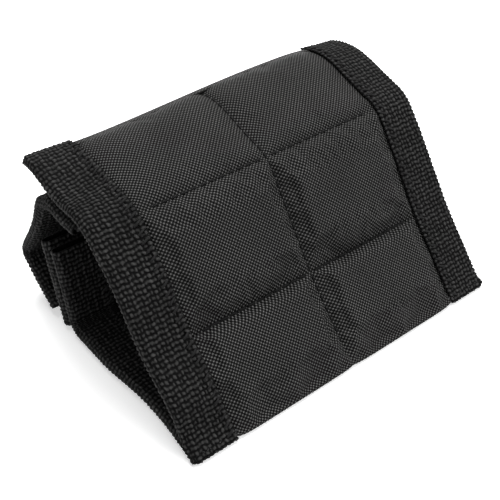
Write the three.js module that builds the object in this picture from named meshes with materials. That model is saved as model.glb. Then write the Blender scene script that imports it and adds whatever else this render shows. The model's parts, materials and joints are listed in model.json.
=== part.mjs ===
// Magnetic wristband: a padded cloth band with a bar magnet in each sewn pocket, closed into a loop by
// a strap whose flap hooks onto a loop panel. Millimetres, +Z up, X across the band, front fold at -Y.
// The band is built as the rigid lengths between its folds: bottom, front, top, strap and flap.
import * as THREE from "three";

// Band width, edge tape and layers
const BAND_WIDTH = 90;
const TAPE_REACH = 11.5; // how far the edge tape laps over each face
const TAPE_THICKNESS = 0.7;
const TAPE_FOLD_RADIUS = 1.2;
const CLOTH_THICKNESS = 0.6;
const FELT_THICKNESS = 0.5;
const WEB_THICKNESS = 1.5;
const LAYER_GAP = 0.3; // between neighbouring layers
const FOLD_GAP = 0.4; // between the two lengths that meet at a fold

// Sewn pockets and their magnets
const CROWN_HEIGHT = 1; // how far a pocket swells past the face of the edge tape
const FLOOR_CROWN = -0.1; // the same on the floor, where the pockets lie flat
const CROWN_POWER = 4; // a higher power gives a flatter pocket with steeper sides
const MAGNET_LENGTH = 22;
const MAGNET_WIDTH = 10;
const MAGNET_THICKNESS = 1.5;
const MAGNET_CORNER = 1;
const LINING_STEP = 2.2; // width over which the lining drops from the edge tape to under the felt

// Panels of the pad, seen from the edge: lengths along the skin, headings in degrees up from +Y
const FRONT_LOWER = 24; // front fold to the lower cross stitch
const FRONT_LOWER_RISE = 49.4;
const FRONT_UPPER = 28.4; // lower cross stitch to the upper one
const FRONT_UPPER_RISE = 55.6;
const TOP_FLAT = 15; // upper cross stitch to where the top starts to curve
const TOP_RISE = 14;
const TOP_END_RADIUS = 22;
const TOP_END_TURN = 36;
const BOTTOM_PAD = 26; // length of the pad behind the front fold
const BOTTOM_STITCH = 4.5; // cross stitch behind the front fold
const FOLD_ROOM = 6.5; // length next to the front fold that is too tight for a magnet
const HEM_REACH = 6; // how far the cover is turned in under the free end of the top

// Strap sewn under the free end, and its flap with the hook strip
const LIP_LENGTH = 13.4; // free end of the pad past the strap's seam
const SEAM_LENGTH = 8;
const STRAP_BEND_RADIUS = 5;
const STRAP_FALL = 52.7; // degrees below the horizontal
const STRAP_ROOT = 12; // bend to the line where the strap swings
const STRAP_LENGTH = 20.6; // that line to the flap's fold
const FLAP_TURN = 84;
const FLAP_LENGTH = 18;
const FLAP_TAPE_REACH = 6;
const HOOK_THICKNESS = 1.6;
const HOOK_START = 5; // from the flap's fold

// Tail of the band, turned up at the back, and the loop panel that stands against it
const TAIL_RISE = 79;
const TAIL_BEND_RADIUS = 5;
const TAIL_UPRIGHT = 18.5;
const LOOP_PANEL_CLEARANCE = 0.6; // between its upper end and the strap above it
const LOOP_PANEL_FOOT = 0.4; // height of its lower end above the floor
const PILE_THICKNESS = 1.6;

// Facets
const POCKET_STEPS = 6;
const BEND_STEPS = 6;
const TAPE_FOLD_STEPS = 3;
const CORNER_STEPS = 3;
const SAME_STOP = 0.2; // two facet lines closer than this become one

// Places and depths that follow from the sizes above. Depth is measured in from the skin of the tape.
const POCKET_EDGE = BAND_WIDTH / 2 - TAPE_REACH;
const LAYER_EDGE = BAND_WIDTH / 2 - TAPE_THICKNESS - LAYER_GAP;
const STRIP_EDGE = POCKET_EDGE - LAYER_GAP;
const LINING_FLAT = STRIP_EDGE - LINING_STEP;
const FELT_EDGE = LINING_FLAT - LAYER_GAP;
const CHANNEL = TAPE_THICKNESS + LAYER_GAP;
const LINING_EDGE_DEPTH = CHANNEL + CLOTH_THICKNESS + LAYER_GAP;
const PAD_EDGE = LINING_EDGE_DEPTH + CLOTH_THICKNESS + CHANNEL;
const WEB_INSIDE = CHANNEL + WEB_THICKNESS;
const STRAP_EDGE = WEB_INSIDE + CHANNEL;
const HOOK_OUTSIDE = WEB_INSIDE + LAYER_GAP;
const HOOK_INSIDE = HOOK_OUTSIDE + HOOK_THICKNESS;
const PILE_PROUD = PILE_THICKNESS + LAYER_GAP - CHANNEL;
const RIGHT = -1;
const LEFT = 1;

// Colours, roughness and metalness
const CLOTH = { color: 0x373635, roughness: 0.72, metalness: 0 };
const TAPE = { color: 0x2b2a2a, roughness: 0.85, metalness: 0 };
const LINING = { color: 0x1d1d1e, roughness: 0.8, metalness: 0 };
const FELT = { color: 0x2f2f30, roughness: 0.95, metalness: 0 };
const WEB = { color: 0x252525, roughness: 0.85, metalness: 0 };
const HOOK = { color: 0x1b1b1c, roughness: 0.6, metalness: 0 };
const PILE = { color: 0x262627, roughness: 0.95, metalness: 0 };
const MAGNET = { color: 0xb9bcc0, roughness: 0.3, metalness: 1 };

function direction(degrees) {
  const angle = THREE.MathUtils.degToRad(degrees);
  return new THREE.Vector2(Math.cos(angle), Math.sin(angle));
}

// Short straight legs that follow an arc
function arcLegs(heading, turn, radius) {
  const step = turn / BEND_STEPS;
  const length = 2 * radius * Math.sin(THREE.MathUtils.degToRad(Math.abs(step) / 2));
  return Array.from({ length: BEND_STEPS }, (_, i) => ({ heading: heading + (i + 0.5) * step, length }));
}

// Corner points of a path in the YZ plane
function walk(start, legs) {
  const points = [start];
  for (const { heading, length } of legs) {
    points.push(points.at(-1).clone().addScaledVector(direction(heading), length));
  }
  return points;
}

// A run is the skin of one length seen from the edge. Each corner has a rib that leads inwards, on which
// a step of 1 is 1 mm of depth. At a fold, the rib lies in the fold's middle plane and the run stops short
// of it. before and after are the headings of the lengths across the folds, or undefined at a free end.
function makeRun(points, inside, before, after) {
  const headings = points.slice(1).map((point, i) => point.clone().sub(points[i]).normalize());
  const ribs = points.map((_, i) => {
    const arriving = headings[i - 1] ?? before ?? headings[i];
    const leaving = headings[i] ?? after ?? headings[i - 1];
    const inwards = ({ x, y }) => new THREE.Vector2(-y, x).multiplyScalar(inside);
    const [first, second] = [inwards(arriving), inwards(leaving)];
    const share = 1 + first.dot(second);
    return first.add(second).divideScalar(share);
  });
  const distances = [0];
  for (let i = 1; i < points.length; i++) {
    distances.push(distances[i - 1] + points[i].distanceTo(points[i - 1]));
  }
  const skin = points.map((point) => point.clone());
  if (before) {
    distances[0] = (FOLD_GAP / 2) * ribs[0].length();
    skin[0].addScaledVector(headings[0], distances[0]);
  }
  if (after) {
    const trim = (FOLD_GAP / 2) * ribs.at(-1).length();
    distances[distances.length - 1] -= trim;
    skin.at(-1).addScaledVector(headings.at(-1), -trim);
  }
  return { skin, ribs, inside, distances, start: distances[0], end: distances.at(-1) };
}

function pointOn(run, distance, depth, x) {
  let leg = 0;
  while (leg < run.skin.length - 2 && run.distances[leg + 1] <= distance) leg += 1;
  const share = (distance - run.distances[leg]) / (run.distances[leg + 1] - run.distances[leg]);
  const place = run.skin[leg].clone().lerp(run.skin[leg + 1], share);
  const rib = run.ribs[leg].clone().lerp(run.ribs[leg + 1], share);
  place.addScaledVector(rib, depth);
  return new THREE.Vector3(x, place.x, place.y);
}

// Facet lines between two distances: both ends, the run's corners and any others
function stopsOn(run, from, to, others = []) {
  const inner = [...run.distances, ...others].sort((a, b) => a - b);
  const stops = [from];
  for (const stop of inner) {
    if (stop - stops.at(-1) > SAME_STOP && to - stop > SAME_STOP) stops.push(stop);
  }
  return [...stops, to];
}

// Values from one end to the other, closer together near both ends
function spread(from, to) {
  return Array.from({ length: POCKET_STEPS + 1 }, (_, i) => {
    return from + ((to - from) * (1 - Math.cos((Math.PI * i) / POCKET_STEPS))) / 2;
  });
}

// A closed solid from corners and triangles, turned so that its faces point out
function closedSolid(corners, triangles) {
  const cross = new THREE.Vector3();
  const volume = triangles.reduce((sum, [a, b, c]) => {
    return sum + corners[a].dot(cross.crossVectors(corners[b], corners[c]));
  }, 0);
  const facingOut = volume < 0 ? triangles.map(([a, b, c]) => [a, c, b]) : triangles;
  const geometry = new THREE.BufferGeometry().setFromPoints(corners);
  geometry.setIndex(facingOut.flat());
  geometry.computeVertexNormals();
  return geometry;
}

// A sheet along a run, between an outer and an inner depth that may change over its face
function sheet(run, stops, columns, outer, inner) {
  const corners = [outer, inner].flatMap((depth) => {
    return stops.flatMap((stop) => columns.map((x) => pointOn(run, stop, depth(x, stop), x)));
  });
  const corner = (side, i, j) => (side * stops.length + i) * columns.length + j;
  const triangles = [];
  const quad = (a, b, c, d) => triangles.push([a, b, c], [a, c, d]);
  const last = columns.length - 1;
  for (let i = 0; i < stops.length - 1; i++) {
    for (let j = 0; j < last; j++) {
      quad(corner(0, i, j), corner(0, i, j + 1), corner(0, i + 1, j + 1), corner(0, i + 1, j));
      quad(corner(1, i, j), corner(1, i + 1, j), corner(1, i + 1, j + 1), corner(1, i, j + 1));
    }
    quad(corner(0, i, 0), corner(0, i + 1, 0), corner(1, i + 1, 0), corner(1, i, 0));
    quad(corner(0, i, last), corner(1, i, last), corner(1, i + 1, last), corner(0, i + 1, last));
  }
  const end = stops.length - 1;
  for (let j = 0; j < last; j++) {
    quad(corner(0, 0, j), corner(1, 0, j), corner(1, 0, j + 1), corner(0, 0, j + 1));
    quad(corner(0, end, j), corner(0, end, j + 1), corner(1, end, j + 1), corner(1, end, j));
  }
  return closedSolid(corners, triangles);
}

function flatSheet(run, from, to, halfWidth, outer, inner) {
  return sheet(run, stopsOn(run, from, to), [-halfWidth, halfWidth], () => outer, () => inner);
}

// Rings of points joined into a closed solid and capped at both ends, where outline is one ring laid flat
function loft(outline, stations, place) {
  const ring = THREE.ShapeUtils.isClockWise(outline) ? outline.slice().reverse() : outline;
  const corners = stations.flatMap((station) => ring.map((point) => place(point, station)));
  const count = ring.length;
  const triangles = [];
  for (let i = 0; i < stations.length - 1; i++) {
    for (let j = 0; j < count; j++) {
      const a = i * count + j;
      const b = i * count + ((j + 1) % count);
      triangles.push([a, b, b + count], [a, b + count, a + count]);
    }
  }
  const end = (stations.length - 1) * count;
  for (const [a, b, c] of THREE.ShapeUtils.triangulateShape(ring, [])) {
    triangles.push([c, b, a], [end + a, end + b, end + c]);
  }
  return closedSolid(corners, triangles);
}

// Edge tape folded round one long edge: outer leg, fold and inner leg. side is -1 on the left.
function edgeTape(run, side, thickness) {
  const edge = BAND_WIDTH / 2;
  const round = Math.min(TAPE_FOLD_RADIUS, thickness / 2);
  const section = new THREE.Shape();
  section.moveTo(POCKET_EDGE, 0);
  section.lineTo(edge - round, 0);
  section.absarc(edge - round, round, round, -Math.PI / 2, 0);
  section.absarc(edge - round, thickness - round, round, 0, Math.PI / 2);
  section.lineTo(POCKET_EDGE, thickness);
  section.lineTo(POCKET_EDGE, thickness - TAPE_THICKNESS);
  section.lineTo(edge - TAPE_THICKNESS, thickness - TAPE_THICKNESS);
  section.lineTo(edge - TAPE_THICKNESS, TAPE_THICKNESS);
  section.lineTo(POCKET_EDGE, TAPE_THICKNESS);
  const outline = section.getPoints(TAPE_FOLD_STEPS);
  const stops = stopsOn(run, run.start, run.end);
  return loft(outline, stops, (point, stop) => pointOn(run, stop, point.y, side * point.x));
}

// A strip across the band whose outline is given as distances along the run and depths
function crossStrip(run, outline) {
  const points = outline.map(([distance, depth]) => new THREE.Vector2(distance, depth));
  return loft(points, [-STRIP_EDGE, STRIP_EDGE], (point, x) => pointOn(run, point.x, point.y, x));
}

// Swell of a pocket across one of its sides, from 0 at the stitches to 1 in the middle
function swell(share) {
  return 1 - Math.abs(2 * share - 1) ** CROWN_POWER;
}

function coverDepth(panel, x, distance) {
  if (Math.abs(x) >= POCKET_EDGE) return CHANNEL;
  const [from, to] = panel.rows.find((row) => distance <= row[1]) ?? panel.rows.at(-1);
  const across = swell(Math.abs(x) / POCKET_EDGE);
  const along = swell(Math.min(1, (distance - from) / (to - from)));
  const full = panel.crownFrom ? Math.min(1, Math.max(0, distance / panel.crownFrom)) : 1;
  const crown = THREE.MathUtils.lerp(FLOOR_CROWN, panel.crown, full);
  return CHANNEL - (CHANNEL + crown) * across * along;
}

// Runs of the pad, from the front fold upwards and from the front fold backwards
const fold = new THREE.Vector2(0, 0);
const frontLegs = [
  { heading: FRONT_LOWER_RISE, length: FRONT_LOWER },
  { heading: FRONT_UPPER_RISE, length: FRONT_UPPER },
];
const frontPoints = walk(fold, frontLegs);
const topLegs = [
  { heading: TOP_RISE, length: TOP_FLAT },
  ...arcLegs(TOP_RISE, -TOP_END_TURN, TOP_END_RADIUS),
];
const topPoints = walk(frontPoints.at(-1), topLegs);
const frontRun = makeRun(frontPoints, RIGHT, direction(180), direction(TOP_RISE));
const topRun = makeRun(topPoints, RIGHT, direction(FRONT_UPPER_RISE));
const bottomPoints = walk(fold, [{ heading: 0, length: BOTTOM_PAD }]);
const bottomRun = makeRun(bottomPoints, LEFT, direction(FRONT_LOWER_RISE + 180));

// Panels of the pad. A magnet row is the distance of its middle along the run, with the row's number.
const panels = {
  bottom: {
    run: bottomRun,
    end: bottomRun.end,
    crown: FLOOR_CROWN,
    rows: [[-FRONT_LOWER, BOTTOM_STITCH], [BOTTOM_STITCH, BOTTOM_PAD]],
    magnets: [{ row: 4, middle: (FOLD_ROOM + BOTTOM_PAD) / 2 }],
  },
  front: {
    run: frontRun,
    end: frontRun.end,
    crown: CROWN_HEIGHT,
    crownFrom: FOLD_ROOM, // flatter up to here from the front fold
    rows: [[-BOTTOM_STITCH, FRONT_LOWER], [FRONT_LOWER, FRONT_LOWER + FRONT_UPPER]],
    magnets: [
      { row: 3, middle: (FOLD_ROOM + FRONT_LOWER) / 2 },
      { row: 2, middle: FRONT_LOWER + FRONT_UPPER / 2 },
    ],
  },
  top: {
    run: topRun,
    end: topRun.end - CLOTH_THICKNESS - LAYER_GAP,
    crown: CROWN_HEIGHT,
    rows: [[0, topRun.end]],
    magnets: [{ row: 1, middle: TOP_FLAT / 2 }],
  },
};

// The magnets lie clear of the cover at their corners. The felt and the lining follow under them.
const coverOverMagnets = Object.values(panels).flatMap((panel) => {
  return panel.magnets.flatMap(({ middle }) => {
    const xs = [POCKET_EDGE - MAGNET_LENGTH, POCKET_EDGE + MAGNET_LENGTH].map((x) => x / 2);
    const ends = [middle - MAGNET_WIDTH / 2, middle + MAGNET_WIDTH / 2];
    return xs.flatMap((x) => ends.map((distance) => coverDepth(panel, x, distance)));
  });
});
const MAGNET_DEPTH = Math.max(...coverOverMagnets) + CLOTH_THICKNESS + LAYER_GAP;
const FELT_DEPTH = MAGNET_DEPTH + MAGNET_THICKNESS + LAYER_GAP;
const LINING_DEPTH = FELT_DEPTH + FELT_THICKNESS + LAYER_GAP;
const PAD_DEPTH = LINING_DEPTH + CLOTH_THICKNESS;

// Strap: sewn under the pad, bent down, then straight to the flap's fold
const seamEnd = topRun.end - LIP_LENGTH;
const strapDepth = PAD_DEPTH + LAYER_GAP;
const seamStops = stopsOn(topRun, seamEnd - SEAM_LENGTH, seamEnd);
const seamPoints = seamStops.map((stop) => {
  const place = pointOn(topRun, stop, strapDepth, 0);
  return new THREE.Vector2(place.y, place.z);
});
const seamLast = seamPoints.at(-1).clone().sub(seamPoints.at(-2));
const seamHeading = THREE.MathUtils.radToDeg(seamLast.angle()) % 360;
const strapLegs = [
  ...arcLegs(seamHeading, -STRAP_FALL - seamHeading, STRAP_BEND_RADIUS),
  { heading: -STRAP_FALL, length: STRAP_ROOT },
];
const strapRootPoints = [...seamPoints, ...walk(seamPoints.at(-1), strapLegs).slice(1)];
const strapPoints = walk(strapRootPoints.at(-1), [{ heading: -STRAP_FALL, length: STRAP_LENGTH }]);
const flapHeading = -STRAP_FALL - FLAP_TURN;
const flapPoints = walk(strapPoints.at(-1), [{ heading: flapHeading, length: FLAP_LENGTH }]);
const strapRootRun = makeRun(strapRootPoints, RIGHT, undefined, direction(-STRAP_FALL));
const strapRun = makeRun(strapPoints, RIGHT, direction(-STRAP_FALL), direction(flapHeading));
const flapRun = makeRun(flapPoints, RIGHT, direction(-STRAP_FALL));

// The loop panel stands where the hook strip meets its pile, and the tail stands against its back
const uprightNormal = direction(TAIL_RISE - 90);
const reachOf = ({ y, z }) => uprightNormal.dot(new THREE.Vector2(y, z));
const hookReach = reachOf(pointOn(flapRun, flapRun.end - LAYER_GAP, HOOK_INSIDE, 0));
const flapTapeReach = reachOf(pointOn(flapRun, flapRun.end, STRAP_EDGE, 0)) + PILE_PROUD;
const loopPanelReach = Math.min(hookReach, flapTapeReach) - LAYER_GAP - PILE_PROUD;
const loopPanelFoot = new THREE.Vector2(
  (loopPanelReach - LOOP_PANEL_FOOT * uprightNormal.y) / uprightNormal.x,
  LOOP_PANEL_FOOT,
);
const strapInwards = direction(-STRAP_FALL - 90);
const pileFoot = loopPanelFoot.clone().addScaledVector(uprightNormal, PILE_PROUD);
const depthOfFoot = strapInwards.dot(pileFoot.sub(strapPoints[0]));
const roomUnderStrap = depthOfFoot - STRAP_EDGE - LOOP_PANEL_CLEARANCE;
const loopPanelLength = -roomUnderStrap / strapInwards.dot(direction(TAIL_RISE));
const loopPanelPoints = walk(loopPanelFoot, [{ heading: TAIL_RISE, length: loopPanelLength }]);
const loopPanelRun = makeRun(loopPanelPoints, LEFT);
const tailReach = loopPanelReach - STRAP_EDGE - LAYER_GAP;
const tailBendY = (tailReach - TAIL_BEND_RADIUS * (1 + uprightNormal.y)) / uprightNormal.x;
const tailStart = new THREE.Vector2(BOTTOM_PAD + LAYER_GAP, 0);
const tailLegs = [
  { heading: 0, length: tailBendY - tailStart.x },
  ...arcLegs(0, TAIL_RISE, TAIL_BEND_RADIUS),
  { heading: TAIL_RISE, length: TAIL_UPRIGHT },
];
const tailRun = makeRun(walk(tailStart, tailLegs), LEFT);

// The five lengths, as groups of named meshes
function addPiece(group, name, geometry, finish) {
  const mesh = new THREE.Mesh(geometry, new THREE.MeshStandardMaterial(finish));
  mesh.name = name;
  group.add(mesh);
  return mesh;
}

function addTapes(group, name, run, thickness) {
  addPiece(group, `${name}_binding_left`, edgeTape(run, -1, thickness), TAPE);
  addPiece(group, `${name}_binding_right`, edgeTape(run, 1, thickness), TAPE);
}

function addStrapLength(group, name, run, webEnd = run.end) {
  addPiece(group, `${name}_web`, flatSheet(run, run.start, webEnd, LAYER_EDGE, CHANNEL, WEB_INSIDE), WEB);
  addTapes(group, name, run, STRAP_EDGE);
}

function addCover(group, name, panel) {
  const half = spread(0, POCKET_EDGE).slice(1);
  const columns = [-LAYER_EDGE, ...half.map((x) => -x).reverse(), 0, ...half, LAYER_EDGE];
  const rowStops = panel.rows.flatMap(([from, to]) => spread(from, to));
  const stops = stopsOn(panel.run, panel.run.start, panel.end, rowStops);
  const outer = (x, distance) => coverDepth(panel, x, distance);
  const inner = (x, distance) => outer(x, distance) + CLOTH_THICKNESS;
  addPiece(group, `${name}_cover`, sheet(panel.run, stops, columns, outer, inner), CLOTH);
}

function addLining(group, name, panel) {
  const columns = [-LAYER_EDGE, -STRIP_EDGE, -LINING_FLAT, LINING_FLAT, STRIP_EDGE, LAYER_EDGE];
  const outer = (x) => (Math.abs(x) > LINING_FLAT ? LINING_EDGE_DEPTH : LINING_DEPTH);
  const inner = (x) => outer(x) + CLOTH_THICKNESS;
  const stops = stopsOn(panel.run, panel.run.start, panel.end);
  addPiece(group, `${name}_lining`, sheet(panel.run, stops, columns, outer, inner), LINING);
}

function magnetGeometry() {
  const [x, y] = [MAGNET_LENGTH / 2 - MAGNET_CORNER, MAGNET_WIDTH / 2 - MAGNET_CORNER];
  const face = new THREE.Shape();
  face.absarc(x, y, MAGNET_CORNER, 0, Math.PI / 2);
  face.absarc(-x, y, MAGNET_CORNER, Math.PI / 2, Math.PI);
  face.absarc(-x, -y, MAGNET_CORNER, Math.PI, 1.5 * Math.PI);
  face.absarc(x, -y, MAGNET_CORNER, 1.5 * Math.PI, 2 * Math.PI);
  const solid = { depth: MAGNET_THICKNESS, bevelEnabled: false, curveSegments: CORNER_STEPS };
  return new THREE.ExtrudeGeometry(face, solid).translate(0, 0, -MAGNET_THICKNESS / 2);
}

function addMagnets(group, panel) {
  for (const { row, middle } of panel.magnets) {
    const ahead = pointOn(panel.run, middle + MAGNET_WIDTH / 2, 0, 0);
    const behind = pointOn(panel.run, middle - MAGNET_WIDTH / 2, 0, 0);
    for (const [side, x] of [["left", -POCKET_EDGE / 2], ["right", POCKET_EDGE / 2]]) {
      const magnet = addPiece(group, `magnet_${row}_${side}`, magnetGeometry(), MAGNET);
      const seat = ahead.clone().add(behind).divideScalar(2);
      const tilt = Math.atan2(ahead.z - behind.z, ahead.y - behind.y);
      const inwards = panel.run.inside * (MAGNET_DEPTH + MAGNET_THICKNESS / 2);
      magnet.position.set(x, seat.y - inwards * Math.sin(tilt), seat.z + inwards * Math.cos(tilt));
      magnet.rotation.x = tilt;
    }
  }
}

function addPad(group, name) {
  const panel = panels[name];
  addCover(group, name, panel);
  addLining(group, name, panel);
  const felt = [FELT_EDGE, FELT_DEPTH, FELT_DEPTH + FELT_THICKNESS];
  addPiece(group, `${name}_felt`, flatSheet(panel.run, panel.run.start, panel.end, ...felt), FELT);
  addMagnets(group, panel);
  addTapes(group, name, panel.run, PAD_EDGE);
}

const bottom = new THREE.Group();
addPad(bottom, "bottom");
addStrapLength(bottom, "tail", tailRun);
addStrapLength(bottom, "loop_panel", loopPanelRun);
const pile = [CHANNEL - LAYER_GAP - PILE_THICKNESS, CHANNEL - LAYER_GAP];
const pileStrip = flatSheet(loopPanelRun, loopPanelRun.start, loopPanelRun.end, STRIP_EDGE, ...pile);
addPiece(bottom, "loop_pile", pileStrip, PILE);

const front = new THREE.Group();
addPad(front, "front");

const top = new THREE.Group();
addPad(top, "top");
const hemOutside = PAD_DEPTH + LAYER_GAP + CLOTH_THICKNESS;
const hemStops = stopsOn(topRun, topRun.end - HEM_REACH, topRun.end - CLOTH_THICKNESS);
const hemOutline = [
  ...hemStops.map((stop) => [stop, hemOutside - CLOTH_THICKNESS]),
  [topRun.end - CLOTH_THICKNESS, CHANNEL],
  [topRun.end, CHANNEL],
  [topRun.end, hemOutside],
  ...hemStops.map((stop) => [stop, hemOutside]).reverse(),
];
addPiece(top, "top_end_hem", crossStrip(topRun, hemOutline), CLOTH);
addStrapLength(top, "strap_root", strapRootRun);

const strap = new THREE.Group();
addStrapLength(strap, "strap", strapRun);

const flap = new THREE.Group();
const flapWall = flapRun.end - TAPE_THICKNESS;
addStrapLength(flap, "flap", flapRun, flapWall - LAYER_GAP);
const flapTapeOutline = [
  [flapRun.end - FLAP_TAPE_REACH, 0],
  [flapRun.end, 0],
  [flapRun.end, WEB_INSIDE],
  [flapWall, WEB_INSIDE],
  [flapWall, TAPE_THICKNESS],
  [flapRun.end - FLAP_TAPE_REACH, TAPE_THICKNESS],
];
addPiece(flap, "flap_end_tape", crossStrip(flapRun, flapTapeOutline), TAPE);
const hook = [HOOK_START, flapRun.end - LAYER_GAP, STRIP_EDGE, HOOK_OUTSIDE, HOOK_INSIDE];
addPiece(flap, "hook_strip", flatSheet(flapRun, ...hook), HOOK);

// The origin is under the middle of the band, at the floor
const standing = new THREE.Group();
standing.add(bottom, front, top, strap, flap);
const box = new THREE.Box3().setFromObject(standing);
const middle = box.getCenter(new THREE.Vector3());
standing.position.set(-middle.x, -middle.y, -box.min.z);

const wristband = new THREE.Group();
wristband.add(standing);

export default wristband;
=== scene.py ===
"""Looks of a magnetic wristband: a padded cloth band with sewn pockets, taped edges and a strap with a hook
flap. Shapes are worked out in millimetres in the frame's axes and become metres when a mesh is made."""

import json
import math

import bpy
import numpy as np
from mathutils import Matrix, Vector


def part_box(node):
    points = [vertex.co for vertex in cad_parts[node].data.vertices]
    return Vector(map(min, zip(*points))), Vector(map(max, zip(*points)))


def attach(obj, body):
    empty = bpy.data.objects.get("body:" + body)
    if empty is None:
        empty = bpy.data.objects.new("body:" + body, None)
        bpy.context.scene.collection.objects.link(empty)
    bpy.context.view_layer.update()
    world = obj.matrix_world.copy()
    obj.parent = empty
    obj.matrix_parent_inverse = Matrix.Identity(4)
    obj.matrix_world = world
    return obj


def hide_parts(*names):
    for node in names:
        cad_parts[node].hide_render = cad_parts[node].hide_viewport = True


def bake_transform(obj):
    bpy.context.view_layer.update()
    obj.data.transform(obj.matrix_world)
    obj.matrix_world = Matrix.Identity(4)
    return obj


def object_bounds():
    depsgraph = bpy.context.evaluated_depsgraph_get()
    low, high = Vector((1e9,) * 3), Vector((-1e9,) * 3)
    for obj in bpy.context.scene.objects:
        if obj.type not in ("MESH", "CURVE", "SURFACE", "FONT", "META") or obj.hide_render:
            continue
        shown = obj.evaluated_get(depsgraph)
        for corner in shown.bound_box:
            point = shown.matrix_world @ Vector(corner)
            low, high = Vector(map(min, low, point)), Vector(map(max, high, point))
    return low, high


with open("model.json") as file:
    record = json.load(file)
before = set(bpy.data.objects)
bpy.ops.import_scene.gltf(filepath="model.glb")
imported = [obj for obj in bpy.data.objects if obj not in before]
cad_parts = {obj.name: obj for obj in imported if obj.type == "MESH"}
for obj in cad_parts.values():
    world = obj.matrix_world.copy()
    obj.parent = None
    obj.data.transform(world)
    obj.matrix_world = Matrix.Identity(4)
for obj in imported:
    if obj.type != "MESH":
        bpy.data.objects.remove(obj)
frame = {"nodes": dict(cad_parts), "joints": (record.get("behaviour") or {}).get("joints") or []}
cad_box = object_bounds()
random = np.random.default_rng(7)
MM = 0.001
UV_PER_MM = 0.01

# Band width, edge tape and layers. Depth is measured in from the face of the edge tape.
HALF_WIDTH = cad_box[1].x / MM
TAPE_REACH = 11.5
TAPE_THICKNESS = 0.7
TAPE_EDGE = HALF_WIDTH - TAPE_REACH
STRIP_EDGE = TAPE_EDGE - 0.3
LAYER_EDGE = HALF_WIDTH - 1.6
BOUND_THICKNESS = 3.5
CLOTH_THICKNESS = 0.45
COVER_THICKNESS = 0.3
COVER_UNDER_TAPE = 1.0
COVER_SEWN = 1.5
COVER_FILLED = 0.15
COVER_ON_MAGNET = -1.05
FACET_LENGTH = 25.0
FACET_WIDTH = 13.0
COVER_FOLD_RISE = 0.9
LINING_UNDER_TAPE = 2.2
LINING_SEWN = 2.7
LINING_FILLED = 4.0
FELT_SEWN = 2.0
FELT_FILLED = 3.5
FELT_THICKNESS = 0.35
WEB_DEPTH = 1.0
WEB_THICKNESS = 1.5
WEB_OFF_END = 1.0
WEB_WAVE, WAVE_LENGTH, WAVE_WIDTH, WAVE_SLANT = 0.12, 2.9, 7.3, 0.04
FLOOR_CLEARANCE = 0.1

# Panels of the pad: lengths along the skin, headings in degrees up from +Y
FRONT_LOWER, FRONT_LOWER_RISE = 24, 49.4
FRONT_UPPER_RISE = 55.6
TOP_FLAT, TOP_RISE = 15, 14
TOP_END_RADIUS, TOP_END_TURN = 22, 36
BOTTOM_PAD = 26
BOTTOM_STITCH = 4.5
COVER_OFF_END = 0.8
HEM_LAP, HEM_REACH = 3.5, 6
HEM_OUTSIDE = 5.0
HEM_RADIUS = 1.6

# Strap, flap, tail and loop panel
LIP_LENGTH = 13.4
SEAM_LENGTH = 8
STRAP_UNDER_PAD = 4.8
STRAP_FALL = 52.7
FLAP_TURN = 84
FLAP_LENGTH = 18
FLAP_TAPE_REACH = 6
FLAP_TAPE_RADIUS = 0.9
HOOK_START, HOOK_OFF_END = 5, 0.3
HOOK_DEPTH, HOOK_BASE, HOOK_HEIGHT = 2.8, 0.45, 1.1
TAIL_RISE = 79
TAIL_UPRIGHT = 18.5
TAIL_BEND_RADIUS = 5
PILE_DEPTH, PILE_BASE, PILE_HEIGHT = 0.7, 0.4, 1.15

# How tightly the cloth turns at each fold
FOLD_RADIUS = 0.25
STITCH_RADIUS = 40
CREST_RADIUS = 9
SEAM_RADIUS = 5
FLAP_RADIUS = 4.5
FOLD_TURN = math.radians(180 - FRONT_LOWER_RISE)

# At the front fold every layer keeps off the fold's middle, and past PINCH_OUTSIDE the outer ones more
PINCH_CLEARANCE = 0.25
COVER_CLEARANCE = PINCH_CLEARANCE + 0.05
PINCH_OUTSIDE, PINCH_INSIDE = 1.7, 4.5
PINCH_FADE, PINCH_SPAN = 0.5, 2.5
PINCH_ORDER = 0.1

# Webbing of the edge tape, a plain weave of thick yarns
WEFT_PITCH = 1.15
WARP_PITCH = 1.0
YARN_HEIGHT = 0.6
YARN_WANDER = 0.14
WANDER_ALONG, WANDER_ACROSS = (2.3, 0.41), (1.9, 0.83)
YARN_UNEVEN, UNEVEN_ROW, UNEVEN_COLUMN = 0.1, 12.9, 78.2
YARN_ROUND, YARN_DIP, DIP_ROUND = 0.7, 0.85, 0.5
TAPE_STEP = 0.25
WRAP_STEP = 0.36
PLAIN_STEP = 0.8
FRAY, FRAY_REACH = 0.3, 0.5
INNER_RELIEF = 0.3

# Sewing thread
STITCH_LENGTH = 2.2
STITCH_PITCH = 2.5
SEAM_PITCH = 1.9
SEAM_SLANT = math.radians(62)
STITCH_ARCH = 0.28
THREAD_RADIUS = 0.28
THREAD_SUNK = 0.15
SEAM_DEPTH = 0.35

joint_at = {j["name"]: np.array(j["pos_m"][1:]) / MM for j in frame["joints"]}
FOLD_LINE = joint_at["fold_open"]
CREST_LINE = joint_at["top_lift"]
STRAP_LINE = joint_at["strap_swing"]
FLAP_LINE = joint_at["flap_peel"]
SIDES = {"left": -1, "right": 1}


def heading(degrees):
    return np.array([math.cos(math.radians(degrees)), math.sin(math.radians(degrees))])


def across(vector):
    """The vector turned a quarter turn to its left."""
    return np.array([-vector[1], vector[0]])


def rise(value, low, high):
    """0 below low and 1 above high, with a smooth step between."""
    share = np.clip((value - low) / (high - low), 0, 1)
    return share * share * (3 - 2 * share)


def hump(value, low, high):
    """0 outside a span and 1 in its middle."""
    share = np.clip((value - low) / (high - low), 0, 1)
    return np.sin(math.pi * share) ** 2


# Lines in the YZ plane that the layers follow


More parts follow.
